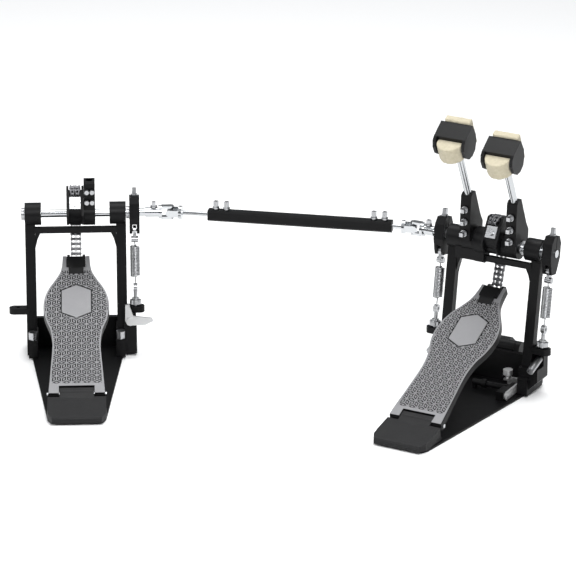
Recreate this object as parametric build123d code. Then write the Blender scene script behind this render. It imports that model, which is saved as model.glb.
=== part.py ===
from build123d import *
import math
import os

# Twin bass drum pedal: a main pedal with two beaters, a side pedal, and a telescoping
# driveshaft with a universal joint at each end. Origin: on the floor below the middle of the
# main axle. +X runs along the main axle to the right, +Y towards the drum, +Z up. Millimetres.

axle_height = 185.0
frame_width = 130.0
axle_radius = 5.0
run_fit = 0.05
upright_rake = 8.5
side_pedal_place = (-523.6, -165.4, 0.0)
side_pedal_turn = 32.0
side_lever_height = 49.0

# Bearing housings and the bar between them.
housing_radius = 14.5
housing_width = 21.0
bearing_radius = 11.0
bearing_width = 6.0
half_frame = frame_width / 2
housing_inner = half_frame - housing_width
upright_width = 13.0
bar_top = axle_height - 16.4
bar_bottom = axle_height - 24.0
centre_sleeve = (-26.0, -11.8)
centre_sleeve_radius = 17.5

# Chain drive: an off-centre round cam carries a duplex chain of 6.35 pitch.
chain_pitch = 6.35
cam_radius = 23.5
cam_offset = 10.8
cam_half_width = 11.0
flange_radius = 25.2
chain_lean = 17.3
run_links = 11
free_links = 2
wrapped_links = 7
link_turn = 2 * math.degrees(math.asin(chain_pitch / 2 / cam_radius))
strand_offset = 3.2
pin_radius = 1.15
roller_radius = 1.65
link_height = 5.6
plate_thickness = 0.7

# Footboard, heel plate and base plate.
board_heel = (-218.0, 23.0)
board_toe = (0.0, 129.5)
board_length = 238.0
board_depth = 9.0
board_skin = 3.2
board_wall = 2.6
heel_pin_place = (-212.0, 19.3)
heel_pin_radius = 2.5
knuckle_radius = 5.6
tongue_half = 21.6
plate_height = 2.5

# Beaters.
rod_radius = 4.75
rod_lean = 25.0
rod_offset = 17.0
left_hub = (-43.4, -27.6)
right_hub = (13.0, 34.0)
left_rod_x = -36.0
right_rod_x = 28.2
left_head_up = 152.0
right_head_up = 140.0
hub_radius = 15.4

# Return springs beside the frame.
rocker_inner = 69.5
rocker_width = 13.0
spring_x = 76.0
spring_tilt = 9.2
rocker_arm = 23.0
eye_height = 88.0
spring_radius = 6.5

# Driveshaft.
side_joint_x = 122.7
main_joint_x = -117.7
fork_outer = 8.8
fork_inner = 5.5
fork_ear = 7.5
fork_base = 11.2
fork_back = 15.5
shaft_rod_radius = 3.0
tube_half = 7.1
tube_start = 50.0
tube_gap = 28.0

parts = {}


def block(x0, x1, y0, y1, z0, z1):
    middle = Pos((x0 + x1) / 2, (y0 + y1) / 2, (z0 + z1) / 2)
    return middle * Box(x1 - x0, y1 - y0, z1 - z0)


def rod(start, end, radius):
    run = Vector(*end) - Vector(*start)
    bottom = (Align.CENTER, Align.CENTER, Align.MIN)
    return Plane(origin=start, z_dir=run) * Cylinder(radius, run.length, align=bottom)


def across(x0, x1, y, z, radius):
    return rod((x0, y, z), (x1, y, z), radius)


def side_plate(points, x0, x1):
    """A flat outline of (y, z) points, given thickness from x0 to x1."""
    face = make_face(Polyline(*[(x0, y, z) for y, z in points], close=True))
    return extrude(face, amount=x1 - x0, dir=(1, 0, 0))


def front_plate(points, y0, y1):
    """A flat outline of (x, z) points, given thickness from y0 to y1."""
    face = make_face(Polyline(*[(x, y0, z) for x, z in points], close=True))
    return extrude(face, amount=y1 - y0, dir=(0, 1, 0))


def leaning(x, y, z, lean):
    """A plane whose own z axis leans back towards the player by lean degrees."""
    turn = math.radians(lean)
    up = (0, -math.sin(turn), math.cos(turn))
    return Plane(origin=(x, y, z), x_dir=(1, 0, 0), z_dir=up)


def join(pieces):
    whole = pieces[0]
    for piece in pieces[1:]:
        whole = whole + piece
    return whole


def keep(name, *pieces, place=Location()):
    solids = [solid.moved(place) for piece in pieces for solid in piece.solids()]
    parts[name] = Compound(children=solids) if len(solids) > 1 else solids[0]


# Frame and base.


def upright_y(z):
    return -(axle_height - z) * math.tan(math.radians(upright_rake))


def upright(side):
    """One raked post, a little deeper at its foot, with the rounded gusset at its top."""
    foot, head = 8.0, axle_height - 10
    outline = [
        (upright_y(foot) - 9, foot),
        (upright_y(foot) + 8, foot),
        (upright_y(60) + 5, 60),
        (upright_y(head) + 5, head),
        (upright_y(head) - 5, head),
        (upright_y(60) - 6, 60),
    ]
    outer, inner = side * half_frame, side * (half_frame - upright_width)
    post = side_plate(outline, min(outer, inner), max(outer, inner))
    gusset = front_plate(
        [
            (inner - side * 0.5, bar_bottom + 3),
            (inner - side * 8, bar_bottom + 3),
            (inner - side * 3, bar_bottom - 8),
            (inner + side * 1, bar_bottom - 24),
        ],
        upright_y(bar_bottom) - 5,
        upright_y(bar_bottom) + 4,
    )
    return post + gusset


def housing(side):
    outer, inner = side * half_frame, side * housing_inner
    return across(min(outer, inner), max(outer, inner), 0, axle_height, housing_radius)


def spring_lug(side, z_top=64.0):
    """A bar with a round end that stands out from the post and takes a spring stud."""
    y = upright_y(60) - 0.5
    end = spring_x + 5
    low, high = sorted((side * (half_frame - 3), side * end))
    bar = block(low, high, y - 6.5, y + 6.5, z_top - 8, z_top)
    nose = rod((side * end, y, z_top - 8), (side * end, y, z_top), 6.5)
    frame = leaning(side * spring_x, 0, axle_height, -spring_tilt)
    return bar + nose - frame * rod((0, 0, -140), (0, 0, -110), 2.5)


def frame_casting(block_foot, foot_reach):
    """Both posts, their bearing housings, the bar, the low wall and the feet."""
    pieces = [upright(1), upright(-1), housing(1), housing(-1)]
    inner = half_frame - upright_width + 1
    pieces.append(block(-inner, inner, -9, -3, bar_bottom, bar_top))
    pieces.append(block(-inner, inner, -4, 5, bar_bottom, bar_bottom + 4.2))
    pieces.append(block(-62, 62, -4, 14, plate_height, 14))
    pieces.append(block(-54, 54, -4, 3, plate_height + 5, 43))
    pieces.append(front_plate(block_foot, -34, -4))
    foot = [(-foot_reach, plate_height), (6, plate_height), (6, 24), (-14, 34), (-foot_reach, 24)]
    for side in (1, -1):
        pieces.append(side_plate(foot, *sorted((side * 51, side * half_frame))))
        pieces.append(spring_lug(side))
    body = join(pieces)
    body = body - across(-half_frame - 1, half_frame + 1, 0, axle_height, axle_radius + 1.2)
    for side in (1, -1):
        for start in (housing_inner, half_frame - bearing_width):
            pocket = sorted((side * start, side * (start + bearing_width)))
            body = body - across(*pocket, 0, axle_height, bearing_radius)
    return body


def bearing(x):
    ring = across(x, x + bearing_width, 0, axle_height, bearing_radius)
    return ring - across(x - 1, x + bearing_width + 1, 0, axle_height, axle_radius + run_fit)


def bearings():
    starts = (housing_inner, half_frame - bearing_width)
    return [bearing(x) for x in starts] + [bearing(-x - bearing_width) for x in starts]


def base_plate():
    """A sheet plate that narrows evenly from the frame to the heel."""
    right = [(60, 14), (61, -16), (36.6, -252), (32, -262)]
    outline = right + [(-x, y) for x, y in reversed(right)]
    face = make_face(Polyline(*[(x, y, 0) for x, y in outline], close=True))
    return extrude(face, amount=plate_height, dir=(0, 0, 1))


# Footboard and heel.

board_slope = math.degrees(math.atan2(board_toe[1] - board_heel[1], board_toe[0] - board_heel[0]))
board_plane = Plane(
    origin=(0, *board_heel),
    x_dir=(1, 0, 0),
    z_dir=(0, -math.sin(math.radians(board_slope)), math.cos(math.radians(board_slope))),
)
# Half widths of the board at distances from its heel end.
board_sides = [
    (0, 35.6),
    (42, 32.8),
    (84, 30.6),
    (108, 33.2),
    (126, 38.9),
    (146, 42.0),
    (163, 40.6),
    (180, 35.4),
    (196, 26.8),
    (210, 20.4),
    (224, 18.0),
    (board_length, 17.2),
]


def board_outline(inset, start, end):
    sides = [(u, w - inset) for u, w in board_sides if start - 1 <= u <= end + 1]
    right = Spline(*[(w, u) for u, w in sides])
    left = Spline(*[(-w, u) for u, w in reversed(sides)])
    foot = Line(left @ 1, right @ 0)
    head = Line(right @ 1, left @ 0)
    return make_face([foot, right, head, left])


def on_board(x0, x1, u0, u1, v0, v1):
    return board_plane * block(x0, x1, u0, u1, v0, v1)


def footboard():
    top = extrude(board_outline(0, 0, board_length), amount=-board_depth)
    pocket = extrude(board_outline(board_wall, 42, 210), amount=-board_depth)
    pocket = Pos(0, 0, -board_skin) * pocket
    board = board_plane * (top - pocket)
    board = board - on_board(-12.4, 12.4, 218, board_length + 5, -20, 5)
    for side in (1, -1):
        ends = sorted((side * 22.2, side * 35.4))
        board = board + across(*ends, *heel_pin_place, knuckle_radius)
    board = board - on_board(-22.2, 22.2, -12, 12.5, -20, 5)
    return board - across(-50, 50, *heel_pin_place, heel_pin_radius + run_fit)


def heel_plate():
    """The fixed plate under the player's heel, with the middle knuckle of the hinge."""
    outline = [(-268, 2.5), (-268, 8.5), (-266.5, 10), (-220.8, 19.6), (-220.8, 10), (-216, 2.5)]
    plate = side_plate(outline, -37, 37)
    corners = make_face(
        Polyline(
            (-36.6, -220, 0),
            (-36.8, -246, 0),
            (-36, -258, 0),
            (-31, -268, 0),
            (31, -268, 0),
            (36, -258, 0),
            (36.8, -246, 0),
            (36.6, -220, 0),
            (36.6, -200, 0),
            (-36.6, -200, 0),
            close=True,
        )
    )
    plate = plate & extrude(corners, amount=40, dir=(0, 0, 1))
    pin_y, pin_z = heel_pin_place
    over_pin = [(-224, 8), (-224, 18.9), (pin_y, pin_z + 5.9), (-207.8, 26.6)]
    profile = over_pin + [(-206.2, 24), (-207.4, 17), (pin_y, 8)]
    tongue = side_plate(profile, -tongue_half, tongue_half)
    tongue = tongue + across(-tongue_half, tongue_half, pin_y, pin_z, knuckle_radius)
    foot = side_plate([(-224, 2.5), (-206, 2.5), (-209, 14), (-224, 14)], -tongue_half, tongue_half)
    whole = plate + tongue + foot
    return whole - across(-50, 50, *heel_pin_place, heel_pin_radius)


def heel_pin():
    return across(-37.5, 37.5, *heel_pin_place, heel_pin_radius)


# Cam and chain.

lean_turn = math.radians(chain_lean)
cam_centre = (0.0, axle_height + cam_offset)


def chain_point(turn):
    """A chain pin on the cam, turn degrees above the level, on the drum side."""
    angle = math.radians(turn)
    return (cam_centre[0] + cam_radius * math.cos(angle), cam_centre[1] + cam_radius * math.sin(angle))


def chain_pins():
    """All pins of the chain, from the clamped end on the cam to the toe."""
    turns = [-chain_lean + link_turn * k for k in range(wrapped_links + free_links, -1, -1)]
    pins = [chain_point(turn) for turn in turns]
    y, z = pins[-1]
    for _ in range(run_links):
        y, z = y - chain_pitch * math.sin(lean_turn), z - chain_pitch * math.cos(lean_turn)
        pins.append((y, z))
    return pins


def link_outline(first, second, thickness, x):
    """A side plate with round ends on two pins, centred at x."""
    half = link_height / 2
    low, high = x - thickness / 2, x + thickness / 2
    (y0, z0), (y1, z1) = first, second
    length = math.dist(first, second)
    across_y, across_z = (z1 - z0) / length * half * 0.8, (y0 - y1) / length * half * 0.8
    waist = [
        (y0 + across_y, z0 + across_z),
        (y1 + across_y, z1 + across_z),
        (y1 - across_y, z1 - across_z),
        (y0 - across_y, z0 - across_z),
    ]
    ends = [across(low, high, *pin, half) for pin in (first, second)]
    return join([side_plate(waist, low, high)] + ends)


def inner_link(first, second):
    """Two roller links side by side, each of two plates and two rollers."""
    links = []
    for strand in (strand_offset, -strand_offset):
        reach = 1.55
        plate_places = [strand + side * (reach + 0.35) for side in (1, -1)]
        plates = [link_outline(first, second, plate_thickness, x) for x in plate_places]
        rollers = [across(strand - reach, strand + reach, *pin, roller_radius) for pin in (first, second)]
        link = join(plates + rollers)
        for pin in (first, second):
            link = link - across(strand - 4, strand + 4, *pin, pin_radius + run_fit)
        links.append(link)
    return links


def outer_link(first, second):
    """Three plates with the pins that pass through both strands."""
    places = (-2 * strand_offset, 0, 2 * strand_offset)
    pieces = [link_outline(first, second, plate_thickness, x * 0.93) for x in places]
    reach = 2.2 * strand_offset
    pieces += [across(-reach, reach, *pin, pin_radius) for pin in (first, second)]
    return [join(pieces)]


def chain_links(pins, start_inner):
    solids = []
    for index, (first, second) in enumerate(zip(pins, pins[1:])):
        make = inner_link if (index % 2 == 0) == start_inner else outer_link
        solids += make(first, second)
    return solids


def chain_run(pins):
    """The straight run, whose last pin reaches out into the ears of the toe clip."""
    links = chain_links(pins, False)
    links[-1] = links[-1] + across(-11.4, 11.4, *pins[-1], pin_radius)
    return links


def cam():
    cy, cz = cam_centre
    width = cam_half_width
    drum = across(-width, width, cy, cz, cam_radius - 3.5)
    flange_ends = [(width - 2.6, width), (-width, 2.6 - width)]
    flanges = [across(*ends, cy, cz, flange_radius) for ends in flange_ends]
    collar = across(-width, width, 0, axle_height, 14.2)
    body = join([drum, collar] + flanges)
    seat = leaning(0, *cam_centre, 58) * block(-20, 20, -40, 40, 17.5, 40)
    return body - seat - across(-20, 20, 0, axle_height, axle_radius)


def clamp_plate():
    """The bright plate and its screw that hold the chain's end on the cam."""
    spot = leaning(0, *cam_centre, 58)
    plate = block(-7, 7, -9, 6.5, 17.5, 19)
    screw = rod((0, -2.5, 19), (0, -2.5, 21.4), 3.4)
    return spot * (plate + screw)


# Axle parts.


def key_bolt(start, direction, body_length, head=9.0):
    """A bolt with a collar and a small square head, turned by a drum key."""
    heading = Plane(origin=start, z_dir=direction)
    shank = rod((0, 0, 0), (0, 0, body_length), 2.4)
    collar = rod((0, 0, body_length), (0, 0, body_length + 1.6), 4.4)
    square = Pos(0, 0, body_length + 1.6 + head / 2) * Box(5.0, 5.0, head)
    return heading * join([shank, collar, square])


def rod_frame():
    """The leaning frame of the beater rods, whose z axis follows a rod."""
    return leaning(0, 0, axle_height, rod_lean)


def raised(points):
    """Outline points given as heights above the axle."""
    return [(y, axle_height + z) for y, z in points]


def bolt_holes(places, depth=5.0):
    return [rod((x, y - 1.5, z), (x, y + depth, z), 2.4) for x, y, z in places]


def player_bolts(places, depth=5.0, standoff=1.0, head=7.0):
    """Square headed bolts that point at the player, with their shanks in the piece behind."""
    return [key_bolt((x, y + depth, z), (0, -1, 0), depth + standoff, head) for x, y, z in places]


def beater_hub(ends, rod_x, tower, bolt_places):
    """A clamp on the axle with a tower that grips the beater rod."""
    low, high = ends
    player_face = [(-19.5, 3), (-19, 14), (-17.2, 48), (-16.2, 61), (-13, 64.5)]
    drum_face = [(-4.5, 66), (11, 30), (17.5, 20), (17, 5), (12, -3)]
    outline = raised(player_face + drum_face)
    hub = across(low, high, 0, axle_height, hub_radius) + side_plate(outline, *tower)
    for hole in bolt_holes(bolt_places):
        hub = hub - hole
    hub = hub - rod_frame() * rod((rod_x, rod_offset, -20), (rod_x, rod_offset, 80), rod_radius + 0.05)
    return hub - across(low - 3, high + 3, 0, axle_height, axle_radius)


def beater_rod(rod_x, head_up):
    return rod_frame() * rod((rod_x, rod_offset, 12), (rod_x, rod_offset, head_up + 6), rod_radius)


def beater_frame(rod_x, head_up):
    """The frame of a beater head: y away from the player, z up along the rod."""
    return rod_frame() * Pos(rod_x, rod_offset, head_up)


def beater_casing(rod_x, head_up):
    """The black shell of a beater: a sloping roof, two round cheeks and a core."""
    roof = side_plate([(12, 12.6), (12, 17.5), (-11.5, 13), (-12, 8.2)], -22, 22)
    outline = [
        (12, 17.5),
        (-11.5, 13),
        (-17, 10),
        (-20.5, 2),
        (-19.5, -9),
        (-13, -17),
        (-4, -19),
        (5, -16.5),
        (12, -8),
        (14.5, 2),
    ]
    cheeks = [side_plate(outline, *sorted((side * 17.8, side * 22))) for side in (1, -1)]
    core = block(-18, 18, -5, 5, -12.5, 12)
    shell = join([roof, core] + cheeks)
    return beater_frame(rod_x, head_up) * (shell - rod((0, 0, -30), (0, 0, 6.4), rod_radius + run_fit))


def beater_felt(rod_x, head_up):
    """Two felt blocks, one facing the drum and one, with a round face, facing the player."""
    frame = beater_frame(rod_x, head_up)
    drum_side = block(-17.7, 17.7, 12.3, 21.3, -17, 20.5) + block(-17.7, 17.7, 5.2, 12.4, -14, 10.8)
    round_face = rod((0, -12, -15), (0, -12, 7.9), 17.5) & block(-18, 18, -34, -12, -20, 20)
    player_side = round_face + block(-17.5, 17.5, -12, -5.2, -15, 7.9)
    return [frame * drum_side, frame * player_side]


def rocker(side):
    """A clamp on the axle's end, with a forked foot and a cross pin for the spring."""
    ends = sorted((side * rocker_inner, side * (rocker_inner + rocker_width)))
    frame = leaning(0, 0, axle_height, 0 - spring_tilt)
    half = [(7, 22), (13, 13), (13.5, -6), (9, -20), (6, -27)]
    outline = half + [(-y, z) for y, z in reversed(half)]
    body = frame * side_plate(outline, *ends)
    middle = (ends[0] + ends[1]) / 2
    slot = frame * block(middle - 2.8, middle + 2.8, -20, 20, -40, -rocker_arm + 8.6)
    slit = frame * block(ends[0] - 1, ends[1] + 1, -0.6, 0.6, 4, 30)
    body = body - slot - slit
    pin = frame * across(ends[0], ends[1], 0, -rocker_arm, 1.9)
    return body + pin - across(ends[0] - 1, ends[1] + 1, 0, axle_height, axle_radius)


def stirrup(side):
    """A bright eye bar that hangs from the rocker's pin and carries a roller."""
    middle = side * (rocker_inner + rocker_width / 2)
    frame = leaning(middle, 0, axle_height, -spring_tilt)
    bar = block(-2.1, 2.1, -3.6, 3.6, -rocker_arm - 12, -rocker_arm)
    eye = across(-2.1, 2.1, 0, -rocker_arm, 6.0)
    roller = across(-4.6, 4.6, 0, -rocker_arm - 12, 3.9)
    hole = across(-3, 3, 0, -rocker_arm, 4.3)
    return frame * (bar + eye + roller - hole)


def spring_body(side):
    """The closed outline of one return spring with its two straight hooks."""
    middle = side * (rocker_inner + rocker_width / 2)
    frame = leaning(middle, 0, axle_height, -spring_tilt)
    top, bottom = -42.5, -85.5
    hollow = rod((0, 0, bottom + 1.6), (0, 0, top - 1.6), 4.6)
    coil = rod((0, 0, bottom), (0, 0, top), spring_radius) - hollow
    upper = rod((0, 0, top), (0, 0, -rocker_arm - 16.2), 1.0)
    lower = rod((0, 0, bottom), (0, 0, -92.6), 1.0)
    return frame * join([coil, upper, lower])


def stud(side):
    """A threaded stud with an eye, held in the lug, and its round thumb nut."""
    middle = side * (rocker_inner + rocker_width / 2)
    frame = leaning(middle, 0, axle_height, -spring_tilt)
    low = -(axle_height - 57.5) / math.cos(math.radians(spring_tilt))
    eye_low = -(axle_height - eye_height) / math.cos(math.radians(spring_tilt))
    shank = rod((0, 0, low), (0, 0, eye_low - 3), 2.5)
    eye = across(-2.6, 2.6, 0, eye_low, 5.2) - across(-4, 4, 0, eye_low, 2.0)
    nut_low = -(axle_height - 66.3) / math.cos(math.radians(spring_tilt))
    grip = rod((0, 0, nut_low), (0, 0, nut_low + 5.6), 7.5)
    neck = rod((0, 0, nut_low + 5.6), (0, 0, nut_low + 8.2), 4.6)
    nut = grip + neck - rod((0, 0, low), (0, 0, eye_low), 2.5)
    return [frame * (shank + eye), frame * nut]


# Driveshaft.


def fork(turned=0.0):
    """A universal joint fork: two ears beside the cross, joined by a round base."""
    base = rod((0, 0, fork_base), (0, 0, fork_back), fork_outer)
    ears = []
    for side in (1, -1):
        low, high = sorted((side * fork_inner, side * fork_outer))
        arm = block(low, high, -4.4, 4.4, 0, fork_base + 0.5)
        ears.append(arm + rod((low, 0, 0), (high, 0, 0), fork_ear - 3.1))
    return Rot(0, 0, turned) * join([base] + ears)


def yoke(centre, direction, length):
    """The fork on an axle's end, with its sleeve. It points back along direction."""
    up = Plane(origin=centre, x_dir=(0, 0, 1), z_dir=direction)
    sleeve = rod((0, 0, fork_base), (0, 0, length), 6.5)
    bore = rod((0, 0, fork_base + 2), (0, 0, length + 1), axle_radius)
    return up * (fork() + sleeve - bore)


def shaft_end(centre, direction, length):
    """A fork with its cross and the thin rod that slides in the tube."""
    level = Plane(origin=centre, x_dir=Vector(*direction).cross(Vector(0, 0, 1)), z_dir=direction)
    thin = rod((0, 0, fork_back - 1), (0, 0, length), shaft_rod_radius)
    cross = Box(8.4, 8.4, 8.4) + rod((-fork_outer, 0, 0), (fork_outer, 0, 0), 2.0)
    body = fork() - rod((-fork_outer - 1, 0, 0), (fork_outer + 1, 0, 0), 2.0)
    return [level * (body + thin), level * cross]


# Small parts.


def ring(x0, x1, radius):
    return across(x0, x1, 0, axle_height, radius) - across(x0 - 1, x1 + 1, 0, axle_height, axle_radius)


def toe_clip(pin):
    """A dark block in the fork of the board, with two ears round the last chain pin."""
    body = on_board(-12.2, 12.2, 218.2, 234.5, -9, 3.4)
    ramp = side_plate([(204, 0), (219, 0), (219, 3.4), (214, 3.4)], -9.5, 9.5)
    body = body + board_plane * ramp
    for side in (1, -1):
        ends = sorted((side * 8.2, side * 11.6))
        body = body + across(*ends, *pin, 5.2) + on_board(*ends, 230, 241, -12, -2.5)
    return body - across(-20, 20, *pin, 3.0)


def spur(side):
    """A bright bolt that slopes down towards the player through its boss."""
    return rod((side * 71, -8, 49.9), (side * 71, -43, 39), 4.7)


def standing_spur(x):
    """A bolt with a round head that stands on the front of a foot."""
    return rod((x, -39, 12), (x, -39, 27), 2.4) + rod((x, -39, 27), (x, -39, 37), 5.8)


def clamp_lever():
    """A bent bright plate on a pin, with a thumb knob and a wire link."""
    rail = side_plate([(-62, 3), (-16.6, 5), (-16.6, 15.4), (-62, 14)], 47.2, 49.8)
    end = across(47.2, 49.8, -62, 8.5, 5.6)
    crossbar = block(28, 49.8, -19.2, -16.6, 6, 15.6)
    shelf = block(26, 34, -26, -16.6, 13, 15.6)
    post = rod((30, -22, 13), (30, -22, 20), 2)
    knob = rod((30, -22, 20), (30, -22, 27), 6)
    pin = across(36.2, 48, -62, 8.5, heel_pin_radius)
    return join([rail, end, crossbar, shelf, post, knob, pin])


def hoop_claw():
    """The jaw that presses the drum's hoop on the base, with its own cross shaft."""
    hub = across(-26, 26, 11, 44, 9)
    shaft = across(-33, 33, 11, 44, 4)
    back = [(11, 53), (26, 51), (36, 42), (38, 30), (35, 22)]
    inside = [(30, 22), (29, 32), (22, 38), (11, 36)]
    beak = side_plate(back + inside, -13, 13)
    return join([hub, shaft, beak])


def side_lever():
    """A V shaped bright lever on a pin in the side pedal's right foot."""
    upper = [(62.5, 71), (67, 73), (72.5, 56), (97, 53), (98.5, 49)]
    lower = [(88, 44), (73, 43.5), (65, 44), (62, 50)]
    plate = front_plate(upper + lower, -38.5, -35.5)
    head = rod((69, -40, side_lever_height), (69, -35, side_lever_height), 5.5)
    return plate + head + rod((69, -36, side_lever_height), (69, -26, side_lever_height), 3)


def rocker_bolt(side):
    """The bolt on top of a rocker."""
    frame = leaning(side * (rocker_inner + rocker_width / 2), 0, axle_height, -spring_tilt)
    return frame * key_bolt((0, 0, 22), (0, 0, 1), 0.6, 8.0)


def sleeve_bolt(x):
    return key_bolt((x, 0, axle_height + 6.5), (0, 0, 1), 0.4, 5.5)


def tube_between(start, end):
    """A square tube with bevelled edges, bored for the rods that slide in it."""
    run = Vector(*end) - Vector(*start)
    heading = Plane(origin=start, x_dir=run.cross(Vector(0, 0, 1)), z_dir=run)
    body = block(-tube_half, tube_half, -tube_half, tube_half, 0, run.length)
    body = chamfer(body.edges().filter_by(Axis.Z), 2.0)
    return heading * (body - rod((0, 0, -1), (0, 0, run.length + 1), shaft_rod_radius + run_fit))


# The two pedals.

here = Location()
side_place = Location(side_pedal_place, (0, 0, side_pedal_turn))
main_block = [(52, 3), (58, 3), (77, 22), (77, 38), (50.6, 38), (50.6, 6)]
side_block = [(50.6, 3), (77, 3), (77, 38), (76, 55), (62, 55), (60, 38), (50.6, 38)]

all_pins = chain_pins()
cam_pins = all_pins[: wrapped_links + 1]
run_pins = all_pins[wrapped_links + free_links :]

for name, place in (("main", here), ("side", side_place)):
    keep(name + "_base_plate", base_plate(), place=place)
    keep(name + "_footboard", footboard(), place=place)
    keep(name + "_toe_clip", toe_clip(all_pins[-1]), place=place)
    keep(name + "_heel_plate", heel_plate(), place=place)
    keep(name + "_heel_pin", heel_pin(), place=place)
    keep(name + "_cam", cam(), place=place)
    keep(name + "_chain_on_cam", *chain_links(cam_pins, True), place=place)
    for number in range(free_links):
        start = wrapped_links + number
        make = outer_link if number % 2 == 0 else inner_link
        keep(f"{name}_chain_link_{number + 1}", *make(all_pins[start], all_pins[start + 1]), place=place)
    keep(name + "_chain_run", *chain_run(run_pins), place=place)


def hub_bolt_places(x):
    return [(x, -19.4, axle_height + 13), (x, -18.4, axle_height + 28), (x, -17.4, axle_height + 44)]


# Main frame, with the centre bearing and the hoop clamp's base.
body = frame_casting(main_block, 38)
sleeve = across(*centre_sleeve, 0, axle_height, centre_sleeve_radius)
saddle = block(*centre_sleeve, -9, 4, bar_bottom - 2, axle_height - 12)
body = body + sleeve + saddle + block(-34, 34, 10, 50, plate_height, 12)
body = body + block(62, 77, -16, -4, 36, 56.2) + block(-77, -62, -16, -4, 36, 56.2)
body = body + block(-77, -62, -20, -4, 14, 38)
hood = block(-52, centre_sleeve[1], -13, -8, bar_bottom, axle_height - 8)
body = body + hood - across(-44, centre_sleeve[0], 0, axle_height, hub_radius + 0.6)
for side in (1, -1):
    ends = sorted((side * 26.6, side * 33))
    ear = [(-2, 10), (15, 10), (15, 23), (20, 23), (20, 44), (2, 44), (-2, 40)]
    body = body + side_plate(ear, *ends) + across(*ends, 11, 44, 9)
    body = body - spur(side)
body = body - across(*centre_sleeve, 0, axle_height, axle_radius + 2.5)
body = body - across(-26.4, 26.4, 11, 44, 9.4) - across(-34, 34, 11, 44, 4.0 + run_fit)
body = body + block(36, 46.8, -68, -38, plate_height, 14) + block(36, 46.8, -40, -20, plate_height, 10)
body = body + block(36, 46.8, -21, -2, plate_height, 5.4)
body = body + across(-8, 40, -43, 11, 4) + across(5, 11, -43, 11, 5.6)
body = body + block(-8, -4, -46, -40, plate_height, 12)
keep("main_frame", body - across(30, 50, -62, 8.5, heel_pin_radius + run_fit))

bush = across(*centre_sleeve, 0, axle_height, axle_radius + 2.5)
keep("main_bearings", *bearings(), bush - across(-40, 0, 0, axle_height, axle_radius + run_fit))
keep("main_left_axle", across(main_joint_x + fork_base + 2.0, -19.2, 0, axle_height, axle_radius))
keep("main_drive_axle", across(-18.8, 84, 0, axle_height, axle_radius))
left_bolts = hub_bolt_places(left_hub[0] + 7.2)
right_bolts = hub_bolt_places(right_rod_x)
keep("main_left_hub", beater_hub(left_hub, left_rod_x, (left_hub[0], left_hub[0] + 14.5), left_bolts))
keep("main_right_hub", beater_hub(right_hub, right_rod_x, (21, 35.4), right_bolts))
keep("main_left_rod", beater_rod(left_rod_x, left_head_up))
keep("main_right_rod", beater_rod(right_rod_x, right_head_up))
heads = (("left", left_rod_x, left_head_up), ("right", right_rod_x, right_head_up))
for word, rod_x, head_up in heads:
    keep(f"main_{word}_beater_shell", beater_casing(rod_x, head_up))
    keep(f"main_{word}_beater_felt", *beater_felt(rod_x, head_up))
for word, side in (("left", -1), ("right", 1)):
    keep(f"main_{word}_rocker", rocker(side))
    keep(f"main_{word}_stirrup", stirrup(side))
    keep(f"main_{word}_spring", spring_body(side))
keep("main_spring_studs", *stud(1), *stud(-1))
keep("main_spur_bolts", spur(1), spur(-1))
keep("main_clamp_lever", clamp_lever())
keep("main_hoop_claw", hoop_claw())
left_small = [rocker_bolt(-1), sleeve_bolt(-96.5), ring(-27.4, -26.4, 8.5), ring(-69.4, -65.4, 8)]
keep("main_left_bolts", *player_bolts(left_bolts), *left_small)
right_small = [rocker_bolt(1), ring(35.6, 37.2, 9), ring(65.4, 69.4, 8), clamp_plate()]
keep("main_right_bolts", *player_bolts(right_bolts), *right_small)

# Side pedal.
body = frame_casting(side_block, 34)
for x in (56, -57):
    body = body + block(x - 6, x + 6, -45, -33, plate_height, 27)
    body = body - standing_spur(x)
lever_bore = rod((69, -36, side_lever_height), (69, -25, side_lever_height), 3 + run_fit)
keep("side_frame", body - lever_bore, place=side_place)
keep("side_bearings", *bearings(), place=side_place)
keep("side_axle", across(-70, side_joint_x - fork_base - 2.0, 0, axle_height, axle_radius), place=side_place)
holder_bolts = [(15.2, -13, axle_height + 20), (22, -13, axle_height + 20)]
holder_bolts += [(15.2, -13, axle_height + 34), (22, -13, axle_height + 34)]
outline = raised([(-13, 0), (-13, 44), (-11, 46), (5, 46), (12, 26), (17.5, 18), (16, 3), (12, -6)])
holder = across(11, 25.6, 0, axle_height, hub_radius) + side_plate(outline, 11.4, 25.6)
holder = holder - rod_frame() * rod((18.5, rod_offset, 12), (18.5, rod_offset, 60), rod_radius + 0.05)
for x, y, z in holder_bolts:
    holder = holder - rod((x, y, z), (x, y + 3, z), 1.6)
holder = holder - across(10, 27, 0, axle_height, axle_radius)
keep("side_beater_holder", holder, place=side_place)
shanks = [rod((x, y + 3, z), (x, y - 1, z), 1.6) for x, y, z in holder_bolts]
heads = [rod((x, y - 1, z), (x, y - 6.5, z), 2.9) for x, y, z in holder_bolts]
keep(
    "side_bolts",
    *[shank + head for shank, head in zip(shanks, heads)],
    rocker_bolt(1),
    sleeve_bolt(101),
    ring(65.4, 69.4, 8),
    ring(-69.4, -65.4, 8),
    clamp_plate(),
    place=side_place,
)
keep("side_rocker", rocker(1), place=side_place)
keep("side_stirrup", stirrup(1), place=side_place)
keep("side_spring", spring_body(1), place=side_place)
keep("side_studs_and_spurs", *stud(1), standing_spur(56), standing_spur(-57), place=side_place)
keep("side_clamp_lever", side_lever(), place=side_place)

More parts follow.
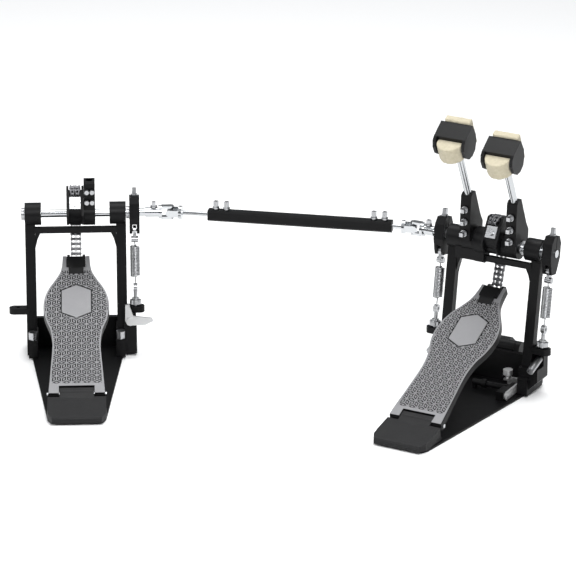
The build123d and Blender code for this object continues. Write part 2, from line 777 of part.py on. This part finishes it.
# Driveshaft between the two universal joints.
side_axis = (side_place * Pos(side_joint_x, 0, axle_height)).position
side_bend = (side_axis.X, side_axis.Y, side_axis.Z)
main_bend = (main_joint_x, 0, axle_height)
shaft = Vector(*main_bend) - Vector(*side_bend)
shaft_way = (shaft.normalized().X, shaft.normalized().Y, 0)
back_way = (-shaft_way[0], -shaft_way[1], 0)
turn = math.radians(side_pedal_turn)
keep("side_yoke", yoke(side_bend, (-math.cos(turn), -math.sin(turn), 0), 32.7))
keep("main_yoke", yoke(main_bend, (1, 0, 0), 29.7))
keep("side_shaft_end", *shaft_end(side_bend, shaft_way, 130))
keep("main_shaft_end", *shaft_end(main_bend, back_way, 128))
unit = Vector(*shaft_way)
tube_ends = [Vector(*side_bend) + unit * tube_start, Vector(*main_bend) - unit * tube_gap]
keep("driveshaft_tube", tube_between(tube_ends[0], tube_ends[1]))
spots = [tube_ends[0] + unit * d for d in (10, 24)] + [tube_ends[1] - unit * d for d in (10, 24)]
keep("driveshaft_bolts", *[key_bolt((p.X, p.Y, p.Z + tube_half), (0, 0, 1), 2.0, 8.0) for p in spots])

os.makedirs("parts", exist_ok=True)
for name, shape in parts.items():
    export_step(shape, f"parts/{name}.step")
print(len(parts), "nodes")
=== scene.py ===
import bpy
import bmesh
import math
from mathutils import Matrix, Vector, noise


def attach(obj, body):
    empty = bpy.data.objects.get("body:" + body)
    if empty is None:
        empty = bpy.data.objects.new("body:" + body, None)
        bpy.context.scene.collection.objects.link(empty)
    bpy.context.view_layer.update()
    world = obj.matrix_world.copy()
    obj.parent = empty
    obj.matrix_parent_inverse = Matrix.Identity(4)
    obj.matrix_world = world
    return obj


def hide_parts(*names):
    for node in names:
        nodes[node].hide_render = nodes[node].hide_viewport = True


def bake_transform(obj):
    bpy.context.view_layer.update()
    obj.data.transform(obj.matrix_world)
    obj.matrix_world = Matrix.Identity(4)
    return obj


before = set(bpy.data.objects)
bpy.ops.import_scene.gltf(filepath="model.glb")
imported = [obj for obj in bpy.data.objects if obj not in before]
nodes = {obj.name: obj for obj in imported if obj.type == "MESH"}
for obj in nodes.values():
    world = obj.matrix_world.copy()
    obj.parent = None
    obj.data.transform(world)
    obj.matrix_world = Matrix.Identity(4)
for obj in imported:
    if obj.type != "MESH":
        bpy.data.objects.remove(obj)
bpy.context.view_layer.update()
mm = 0.001
axleHeight = 0.185
wearSpan = 14  # patches of wear are this many grains wide
print("frame loaded:", len(nodes), "nodes")


def srgb(hexText):
    # sRGB hex to the linear colour that Blender works in
    channels = [int(hexText[i : i + 2], 16) / 255 for i in (1, 3, 5)]
    linear = [c / 12.92 if c <= 0.04045 else ((c + 0.055) / 1.055) ** 2.4 for c in channels]
    return (*linear, 1.0)


def addNode(tree, kind, settings=None, **links):
    # settings: attribute or input values; links: input name or index -> output socket
    node = tree.nodes.new(kind)
    for key, value in (settings or {}).items():
        if hasattr(node, key):
            setattr(node, key, value)
        else:
            node.inputs[key].default_value = value
    for key, source in links.items():
        name = key.replace("_", " ")
        socket = node.inputs[int(key[1:])] if key[1:].isdigit() else node.inputs[name]
        tree.links.new(source, socket)
    return node


def newMaterial(name, settings):
    material = bpy.data.materials.new(name)
    material.use_nodes = True
    shader = material.node_tree.nodes["Principled BSDF"]
    for key, value in settings.items():
        shader.inputs[key].default_value = value
    return material, material.node_tree, shader


def addGrain(tree, shader, finish):
    # fine surface grain: noise at its real size drives bump, and slower noise the roughness
    place = addNode(tree, "ShaderNodeTexCoord").outputs["Object"]
    scale = 1.0 / (finish["grain"] * mm)
    pebble = addNode(tree, "ShaderNodeTexNoise", {"Scale": scale, "Detail": 4.0}, Vector=place)
    relief = {"Strength": finish["bump"], "Distance": finish["depth"] * mm}
    bump = addNode(tree, "ShaderNodeBump", relief, Height=pebble.outputs["Fac"])
    tree.links.new(bump.outputs["Normal"], shader.inputs["Normal"])
    wear = addNode(tree, "ShaderNodeTexNoise", {"Scale": scale / wearSpan, "Detail": 3.0}, Vector=place)
    low, high = finish["rough"]
    rough = addNode(tree, "ShaderNodeMapRange", {"To Min": low, "To Max": high}, Value=wear.outputs["Fac"])
    tree.links.new(rough.outputs["Result"], shader.inputs["Roughness"])
    return {"pebbles": pebble.outputs["Fac"], "wear": wear.outputs["Fac"]}


def addTone(tree, shader, source, finish):
    # colour that drifts between two close tones
    mix = addNode(tree, "ShaderNodeMix", {"data_type": "RGBA"})
    mix.inputs[6].default_value = srgb(finish["dark"])
    mix.inputs[7].default_value = srgb(finish["light"])
    tree.links.new(source, mix.inputs[0])
    tree.links.new(mix.outputs[2], shader.inputs["Base Color"])


def grainyMaterial(name, constants, finish):
    # a material with grain, whose colour drifts with its pebbles or with its wear
    material, tree, shader = newMaterial(name, constants)
    patterns = addGrain(tree, shader, finish)
    addTone(tree, shader, patterns[finish["tone"]], finish)
    return material


# Powder coated zinc alloy: a dense black with a soft, slightly pebbled sheen
castingFinish = {
    "grain": 0.9,
    "bump": 0.25,
    "depth": 0.2,
    "rough": (0.34, 0.5),
    "tone": "wear",
    "dark": "#080809",
    "light": "#101011",
}
casting = grainyMaterial("powderCoatedCasting", {"IOR": 1.5, "Specular IOR Level": 0.15}, castingFinish)

# The heel plate's moulded texture: coarser pebbles that catch the light as small flecks
heelFinish = {
    "grain": 1.3,
    "bump": 0.6,
    "depth": 0.4,
    "rough": (0.45, 0.62),
    "tone": "pebbles",
    "dark": "#121213",
    "light": "#222223",
}
heel = grainyMaterial("texturedHeelCasting", {"IOR": 1.5, "Specular IOR Level": 0.2}, heelFinish)

# Chrome plate: bright and mirror smooth, with faint handling marks in the roughness
chromeFinish = {"grain": 2.0, "bump": 0.03, "depth": 0.2, "rough": (0.08, 0.2), "colour": "#c0c2c4"}
plated = {"Base Color": srgb(chromeFinish["colour"]), "Metallic": 1.0}
chrome, tree, shader = newMaterial("chromePlate", plated)
addGrain(tree, shader, chromeFinish)

# Zinc plated steel: a greyer, softer shine for bolts, springs and studs
zincFinish = {
    "grain": 1.0,
    "bump": 0.08,
    "depth": 0.2,
    "rough": (0.2, 0.36),
    "tone": "wear",
    "dark": "#9c9da0",
    "light": "#bcbdbe",
}
zinc = grainyMaterial("zincPlatedSteel", {"Metallic": 1.0}, zincFinish)

# Satin nickel: the pressed levers, bright but with a wide, blurred shine
satinFinish = {
    "grain": 0.8,
    "bump": 0.06,
    "depth": 0.2,
    "rough": (0.42, 0.55),
    "tone": "wear",
    "dark": "#c4c5c7",
    "light": "#dcdcdb",
}
satinNickel = grainyMaterial("satinNickel", {"Metallic": 1.0}, satinFinish)

# Blued chain steel under a film of oil: dark, with bright worn edges
chainFinish = {
    "grain": 0.8,
    "bump": 0.1,
    "depth": 0.2,
    "rough": (0.25, 0.45),
    "tone": "pebbles",
    "dark": "#3a3a3c",
    "light": "#8a8a8d",
}
chainSteel = grainyMaterial("oiledChainSteel", {"Metallic": 1.0}, chainFinish)

# Bead blasted silver lacquer: the footboard's flat, even light grey face
faceFinish = {
    "grain": 0.7,
    "bump": 0.2,
    "depth": 0.2,
    "rough": (0.42, 0.55),
    "tone": "pebbles",
    "dark": "#737375",
    "light": "#828284",
}
silverFace = grainyMaterial("silverLacquer", {"Metallic": 0.35}, faceFinish)

# Moulded ABS: near black, smooth, with a broad soft highlight
absFinish = {
    "grain": 1.1,
    "bump": 0.08,
    "depth": 0.2,
    "rough": (0.3, 0.4),
    "tone": "wear",
    "dark": "#090909",
    "light": "#101011",
}
blackAbs = grainyMaterial("mouldedAbs", {"IOR": 1.53, "Specular IOR Level": 0.2}, absFinish)

# Pressed wool felt: matt cream, cloudy, with short fibres that soften its edges
feltFinish = {"fibre": 0.35, "clump": 4.0, "bump": 0.8, "depth": 0.5, "dark": "#a79f88", "light": "#c6bea7"}
woolly = {"Roughness": 0.95, "Sheen Weight": 0.15, "Sheen Roughness": 0.5}
felt, tree, shader = newMaterial("pressedWoolFelt", woolly)
place = addNode(tree, "ShaderNodeTexCoord").outputs["Object"]
strands = {"Scale": 1 / (feltFinish["fibre"] * mm), "Detail": 6.0, "Distortion": 1.5}
fibre = addNode(tree, "ShaderNodeTexNoise", strands, Vector=place)
clouds = {"Scale": 1 / (feltFinish["clump"] * mm), "Detail": 5.0}
clump = addNode(tree, "ShaderNodeTexNoise", clouds, Vector=place)
relief = {"Strength": feltFinish["bump"], "Distance": feltFinish["depth"] * mm}
bump = addNode(tree, "ShaderNodeBump", relief, Height=fibre.outputs["Fac"])
tree.links.new(bump.outputs["Normal"], shader.inputs["Normal"])
addTone(tree, shader, clump.outputs["Fac"], feltFinish)
print("materials made")


def finishOf(name):
    if "chain" in name:
        return chainSteel
    if name.endswith("heel_plate"):
        return heel
    if name.endswith("beater_shell") or name.endswith("toe_clip"):
        return blackAbs
    if name.endswith("clamp_lever"):
        return satinNickel
    if name.endswith(("bolts", "spurs", "stirrup", "studs")):
        return zinc
    if name.endswith(("axle", "rod", "yoke", "shaft_end", "heel_pin", "bearings")):
        return chrome
    return casting


for name, node in nodes.items():
    node.data.materials.clear()
    node.data.materials.append(finishOf(name))
print("castings, plating and plastics assigned")


def meshObject(name, mesh, material, body):
    piece = bpy.data.objects.new(name, mesh)
    bpy.context.scene.collection.objects.link(piece)
    mesh.materials.append(material)
    if body:
        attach(piece, body)
    return piece


def fromBmesh(name, build):
    mesh = bpy.data.meshes.new(name)
    build.to_mesh(mesh)
    build.free()
    piece = bpy.data.objects.new(name, mesh)
    bpy.context.scene.collection.objects.link(piece)
    return piece


def prism(name, outlines, low, high):
    # closed prisms over flat outlines, each a list of (x, y)
    build = bmesh.new()
    for outline in outlines:
        lower = [build.verts.new((x, y, low)) for x, y in outline]
        upper = [build.verts.new((x, y, high)) for x, y in outline]
        count = len(outline)
        build.faces.new(list(reversed(lower)))
        build.faces.new(upper)
        for i in range(count):
            j = (i + 1) % count
            build.faces.new((lower[i], lower[j], upper[j], upper[i]))
    return fromBmesh(name, build)


def ringPrism(name, rings, low, high):
    # closed rings between an outer and an inner outline of the same number of points
    build = bmesh.new()
    for outer, inner in rings:
        sets = [[build.verts.new((x, y, z)) for x, y in loop] for loop in (outer, inner) for z in (low, high)]
        outLow, outHigh, inLow, inHigh = sets
        count = len(outer)
        for i in range(count):
            j = (i + 1) % count
            build.faces.new((outLow[i], outLow[j], outHigh[j], outHigh[i]))
            build.faces.new((inHigh[i], inHigh[j], inLow[j], inLow[i]))
            build.faces.new((outHigh[i], outHigh[j], inHigh[j], inHigh[i]))
            build.faces.new((inLow[i], inLow[j], outLow[j], outLow[i]))
    return fromBmesh(name, build)


def combine(base, tool, how):
    modifier = base.modifiers.new(how, "BOOLEAN")
    modifier.operation = how
    modifier.solver = "EXACT"
    modifier.object = tool
    bpy.context.view_layer.objects.active = base
    bpy.ops.object.modifier_apply(modifier=how)
    bpy.data.objects.remove(tool)


# Footboard face: a thin silver plate on each black board, cut through by the groove pattern
board = {
    "heelEnd": (-0.218, 0.023),
    "toeEnd": (0.0, 0.1295),
    "length": 238.0,
    # half widths at distances from the heel end
    "sides": [(0, 35.6), (42, 32.8), (84, 30.6), (108, 33.2), (126, 38.9), (146, 42.0),
              (163, 40.6), (180, 35.4), (196, 26.8), (210, 20.4), (224, 18.0), (238, 17.2)],
    "border": 2.0,
    "patternSpan": (16.5, 212),
    "sideGap": 0.25,
    "endGap": 0.3,
    "grooveSpan": (-0.6, 1.4),
    "plate": 0.7,
    "pitch": 12.7,
    "line": 0.6,
    "groove": 1.45,
    "panelAt": 157.5,
    "panelHalf": (18.5, 28.5),
    "panelPoint": 9.5,
    "pointGrowth": 1.15,
    "panelGroove": 1.4,
    "heelNotch": (22.4, 12.6),
    "toeNotch": (12.6, 217.8),
}


def halfWidthAt(u):
    points = board["sides"]
    for (u0, w0), (u1, w1) in zip(points, points[1:]):
        if u <= u1:
            i = points.index((u0, w0))
            before = points[max(i - 1, 0)]
            after = points[min(i + 2, len(points) - 1)]
            slope0 = (w1 - before[1]) / max(u1 - before[0], 1e-6)
            slope1 = (after[1] - w0) / max(after[0] - u0, 1e-6)
            span = u1 - u0
            t = (u - u0) / span
            a, b = 2 * t**3 - 3 * t**2 + 1, t**3 - 2 * t**2 + t
            c, d = -2 * t**3 + 3 * t**2, t**3 - t**2
            return a * w0 + b * span * slope0 + c * w1 + d * span * slope1
    return points[-1][1]


def boardOutline(inset, start, end, step=4.0):
    count = int((end - start) / step)
    stations = [start + (end - start) * i / count for i in range(count + 1)]
    right = [(halfWidthAt(u) - inset, u) for u in stations]
    left = [(-halfWidthAt(u) + inset, u) for u in reversed(stations)]
    return [(x * mm, u * mm) for x, u in right + left]


def insetPolygon(points, amount):
    # moves every side of a convex polygon inwards by the same amount
    moved = []
    count = len(points)
    for i in range(count):
        p0, p1, p2 = (Vector(points[(i + k - 1) % count]) for k in range(3))
        a, b = (p1 - p0).normalized(), (p2 - p1).normalized()
        na, nb = Vector((-a.y, a.x)), Vector((-b.y, b.x))
        moved.append(tuple(p1 + (na + nb) * (amount / (1 + na.dot(nb)))))
    return moved


def tumblingBlocks(length):
    # every rhombus of a tumbling block tiling, as corner lists
    pitch = board["pitch"]
    edge = pitch / math.sqrt(3)
    arms = [Vector((math.sin(math.radians(a)), math.cos(math.radians(a)))) * edge for a in range(0, 360, 60)]
    rhombi = []
    for row in range(-1, int(length / (pitch * 0.866)) + 2):
        for column in range(-5, 6):
            centre = Vector((column * pitch + (row % 2) * pitch / 2, row * edge * 1.5))
            for k in (0, 2, 4):
                a, b = arms[k], arms[(k + 2) % 6]
                rhombi.append([centre, centre + b, centre + a + b, centre + a])
    return [[(p.x, p.y) for p in r] for r in rhombi]


def grooveRings():
    rings = []
    for rhombus in tumblingBlocks(board["length"]):
        outer = insetPolygon(rhombus, board["line"])
        inner = insetPolygon(rhombus, board["line"] + board["groove"])
        rings.append(([(x * mm, y * mm) for x, y in outer], [(x * mm, y * mm) for x, y in inner]))
    return rings


def panelOutline(grow):
    halfX, halfU = board["panelHalf"]
    halfX, halfU = halfX + grow, halfU + grow * board["pointGrowth"]
    flank = halfU - board["panelPoint"]
    corners = [(0, -halfU), (halfX, -flank), (halfX, flank), (0, halfU), (-halfX, flank), (-halfX, -flank)]
    return [(x * mm, (y + board["panelAt"]) * mm) for x, y in corners]


def rectangle(halfX, low, high):
    return [(-halfX * mm, low * mm), (halfX * mm, low * mm), (halfX * mm, high * mm), (-halfX * mm, high * mm)]


def makeFace():
    top = board["plate"] * mm
    gap, through = board["endGap"], (-mm, 2 * mm)
    low, high = (z * mm for z in board["grooveSpan"])
    plate = prism("faceWork", [boardOutline(board["sideGap"], gap, board["length"] - gap)], 0.0, top)
    halfX, depth = board["heelNotch"]
    combine(plate, prism("heelNotch", [rectangle(halfX, -5, depth)], *through), "DIFFERENCE")
    halfX, start = board["toeNotch"]
    combine(plate, prism("toeNotch", [rectangle(halfX, start, 245)], *through), "DIFFERENCE")
    rings = ringPrism("grooves", grooveRings(), low, high)
    field = boardOutline(board["border"], *board["patternSpan"])
    combine(rings, prism("field", [field], *through), "INTERSECT")
    combine(rings, prism("panel", [panelOutline(board["panelGroove"])], -2 * mm, 3 * mm), "DIFFERENCE")
    combine(plate, rings, "DIFFERENCE")
    rim = (panelOutline(board["panelGroove"]), panelOutline(0))
    edge = ringPrism("panelEdge", [rim], low, high)
    combine(plate, edge, "DIFFERENCE")
    mesh = plate.data.copy()
    bpy.data.objects.remove(plate)
    return mesh


rise = [toe - heelSide for toe, heelSide in zip(board["toeEnd"], board["heelEnd"])]
boardSlope = math.atan2(rise[1], rise[0])
onBoard = Matrix.Translation((0, *board["heelEnd"])) @ Matrix.Rotation(boardSlope, 4, "X")
sidePedal = {"at": (-0.5236, -0.1654, 0), "turn": 32}
sidePlace = Matrix.Translation(sidePedal["at"]) @ Matrix.Rotation(math.radians(sidePedal["turn"]), 4, "Z")
faceMesh = makeFace()
here = Matrix.Identity(4)
for pedal, place in (("main", here), ("side", sidePlace)):
    mesh = faceMesh.copy()
    mesh.transform(place @ onBoard)
    meshObject(f"{pedal}_board_face", mesh, silverFace, f"{pedal}_board")
print("footboard faces cut")

# Return springs: wound wire with a hook at each end, in place of the plain cylinders
spring = {
    "wire": 1.6,
    "coil": 11.2,
    "turns": 21,
    "top": 42.5,
    "bottom": 85.5,
    "hookTop": 36.5,
    "hookLow": 97.5,
    "tilt": 9.2,
    "stepsPerTurn": 16,
    "mainX": 0.076,
}


def springPath():
    # points along the wire in the spring's own frame: z runs down from the axle
    points = []
    radius = spring["coil"] / 2
    perTurn = spring["stepsPerTurn"]
    steps = spring["turns"] * perTurn
    top, bottom = spring["top"] + 1.5, spring["bottom"] - 1.5
    points.append(Vector((0, 0, -(spring["hookTop"] + 2.6))))
    points.append(Vector((0, 0, -spring["top"] + 1.0)))
    for i in range(steps + 1):
        angle = 2 * math.pi * i / perTurn
        # the first and last half turn close in towards the hook
        fromEnd = min(i, steps - i) / (perTurn / 2)
        reach = radius * min(1.0, fromEnd + 0.15)
        down = top + (bottom - top) * i / steps
        points.append(Vector((reach * math.cos(angle), reach * math.sin(angle), -down)))
    points.append(Vector((0, 0, -spring["bottom"] - 1.0)))
    points.append(Vector((0, 0, -(spring["hookLow"] - 4.5))))
    return points


def wireMesh(name, points, radius):
    curve = bpy.data.curves.new(name, "CURVE")
    curve.dimensions = "3D"
    curve.bevel_depth = radius
    curve.bevel_resolution = 2
    curve.use_fill_caps = True
    line = curve.splines.new("POLY")
    line.points.add(len(points) - 1)
    for point, spot in zip(line.points, points):
        point.co = (*spot, 1)
    holder = bpy.data.objects.new(name, curve)
    mesh = bpy.data.meshes.new_from_object(holder)
    bpy.data.objects.remove(holder)
    for face in mesh.polygons:
        face.use_smooth = True
    return mesh


def leanFrame(x, place):
    tilt = Matrix.Rotation(math.radians(-spring["tilt"]), 4, "X")
    return place @ Matrix.Translation((x, 0, axleHeight)) @ tilt


reach = spring["mainX"]
springPlaces = [("main_right", reach, here), ("main_left", -reach, here), ("side", reach, sidePlace)]
for word, x, place in springPlaces:
    path = [p * mm for p in springPath()]
    mesh = wireMesh(f"{word}SpringWire", path, spring["wire"] / 2 * mm)
    whole = leanFrame(x, place)
    mesh.transform(whole)
    coil = meshObject(f"{word}_spring_coil", mesh, zinc, None)
    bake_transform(coil)
    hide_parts(f"{word}_spring")
print("springs wound")

# Beater felts: rounded, slightly uneven blocks in place of the plain solids
nap = {"voxel": 1.1, "rounding": 7, "wobble": 0.4, "clump": 3.2}


def soften(piece):
    remesh = piece.modifiers.new("remesh", "REMESH")
    remesh.mode = "VOXEL"
    remesh.voxel_size = nap["voxel"] * mm
    smooth = piece.modifiers.new("smooth", "SMOOTH")
    smooth.iterations = nap["rounding"]
    bpy.context.view_layer.objects.active = piece
    for modifier in ("remesh", "smooth"):
        bpy.ops.object.modifier_apply(modifier=modifier)
    shift = []
    for vertex in piece.data.vertices:
        shift.append(vertex.normal * noise.noise(vertex.co / (nap["clump"] * mm)) * nap["wobble"] * mm)
    for vertex, step in zip(piece.data.vertices, shift):
        vertex.co += step
    for face in piece.data.polygons:
        face.use_smooth = True


for word in ("left", "right"):
    solid = nodes[f"main_{word}_beater_felt"]
    mesh = solid.data.copy()
    mesh.materials.clear()
    mesh.transform(solid.matrix_world)
    block = bpy.data.objects.new("feltWork", mesh)
    bpy.context.scene.collection.objects.link(block)
    soften(block)
    shaped = block.data.copy()
    bpy.data.objects.remove(block)
    pad = meshObject(f"{word}_beater_pads", shaped, felt, f"{word}_beater")
    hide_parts(f"main_{word}_beater_felt")
print("felts softened")

# Floor, light and camera
studio = {
    "floor": "#f7f7f7",
    "floorHalf": 8,
    "horizon": "#38393b",
    "zenith": "#f2f4f6",
    "worldStrength": 0.75,
    "fade": (0.1, 0.75),
    "middle": (-0.26, -0.05, 0.12),
    # each light: where it stands, its width and height, and its power
    "keyBox": ((1.1, -1.6, 1.9), (1.2, 0.9), 44),
    "fillBox": ((-1.9, -1.4, 1.3), (1.4, 1.2), 24),
    "topBox": ((-0.2, 0.3, 2.1), (1.8, 1.0), 30),
}
floorMesh = bpy.data.meshes.new("floor")
half = studio["floorHalf"]
corners = [(-half, -half, 0), (half, -half, 0), (half, half, 0), (-half, half, 0)]
floorMesh.from_pydata(corners, [], [(0, 1, 2, 3)])
floor = bpy.data.objects.new("floor", floorMesh)
bpy.context.scene.collection.objects.link(floor)
floor.location.z = -0.2 * mm
matt = {"Base Color": srgb(studio["floor"]), "Roughness": 0.9, "IOR": 1.45}
paper, tree, shader = newMaterial("matPaper", matt)
floorMesh.materials.append(paper)

world = bpy.data.worlds.new("studio")
bpy.context.scene.world = world
world.use_nodes = True
background = world.node_tree.nodes["Background"]
background.inputs["Strength"].default_value = studio["worldStrength"]
# darker near the horizon, so that metal has something to reflect besides white
height = addNode(world.node_tree, "ShaderNodeSeparateXYZ")
toward = addNode(world.node_tree, "ShaderNodeTexCoord")
world.node_tree.links.new(toward.outputs["Generated"], height.inputs[0])
low, high = studio["fade"]
band = {"From Min": low, "From Max": high}
fade = addNode(world.node_tree, "ShaderNodeMapRange", band, Value=height.outputs["Z"])
sky = addNode(world.node_tree, "ShaderNodeMix", {"data_type": "RGBA"})
sky.inputs[6].default_value = srgb(studio["horizon"])
sky.inputs[7].default_value = srgb(studio["zenith"])
world.node_tree.links.new(fade.outputs["Result"], sky.inputs[0])
world.node_tree.links.new(sky.outputs[2], background.inputs["Color"])


def softBox(name, spot, aim, size, power):
    light = bpy.data.lights.new(name, "AREA")
    light.shape = "RECTANGLE"
    light.size, light.size_y = size
    light.energy = power
    lamp = bpy.data.objects.new(name, light)
    bpy.context.scene.collection.objects.link(lamp)
    lamp.location = spot
    lamp.rotation_mode = "QUATERNION"
    lamp.rotation_quaternion = (Vector(aim) - Vector(spot)).to_track_quat("-Z", "Y")


for name in ("keyBox", "fillBox", "topBox"):
    spot, size, power = studio[name]
    softBox(name, spot, studio["middle"], size, power)

view = {"azimuth": 29.4, "elevation": 20.5, "distance": 5.0, "aim": (-0.2613, -0.0727, 0.100), "lens": 243.3}
azimuth, elevation = math.radians(view["azimuth"]), math.radians(view["elevation"])
level = math.cos(elevation)
away = Vector((math.sin(azimuth) * level, -math.cos(azimuth) * level, math.sin(elevation)))
cameraData = bpy.data.cameras.new("camera")
cameraData.lens = view["lens"]
cameraData.sensor_width = 36
cameraData.clip_end = 50
camera = bpy.data.objects.new("camera", cameraData)
bpy.context.scene.collection.objects.link(camera)
camera.location = Vector(view["aim"]) + away * view["distance"]
camera.rotation_mode = "QUATERNION"
camera.rotation_quaternion = (-away).to_track_quat("-Z", "Y")
bpy.context.scene.camera = camera
bpy.context.scene.view_settings.view_transform = "Standard"
print("studio set")
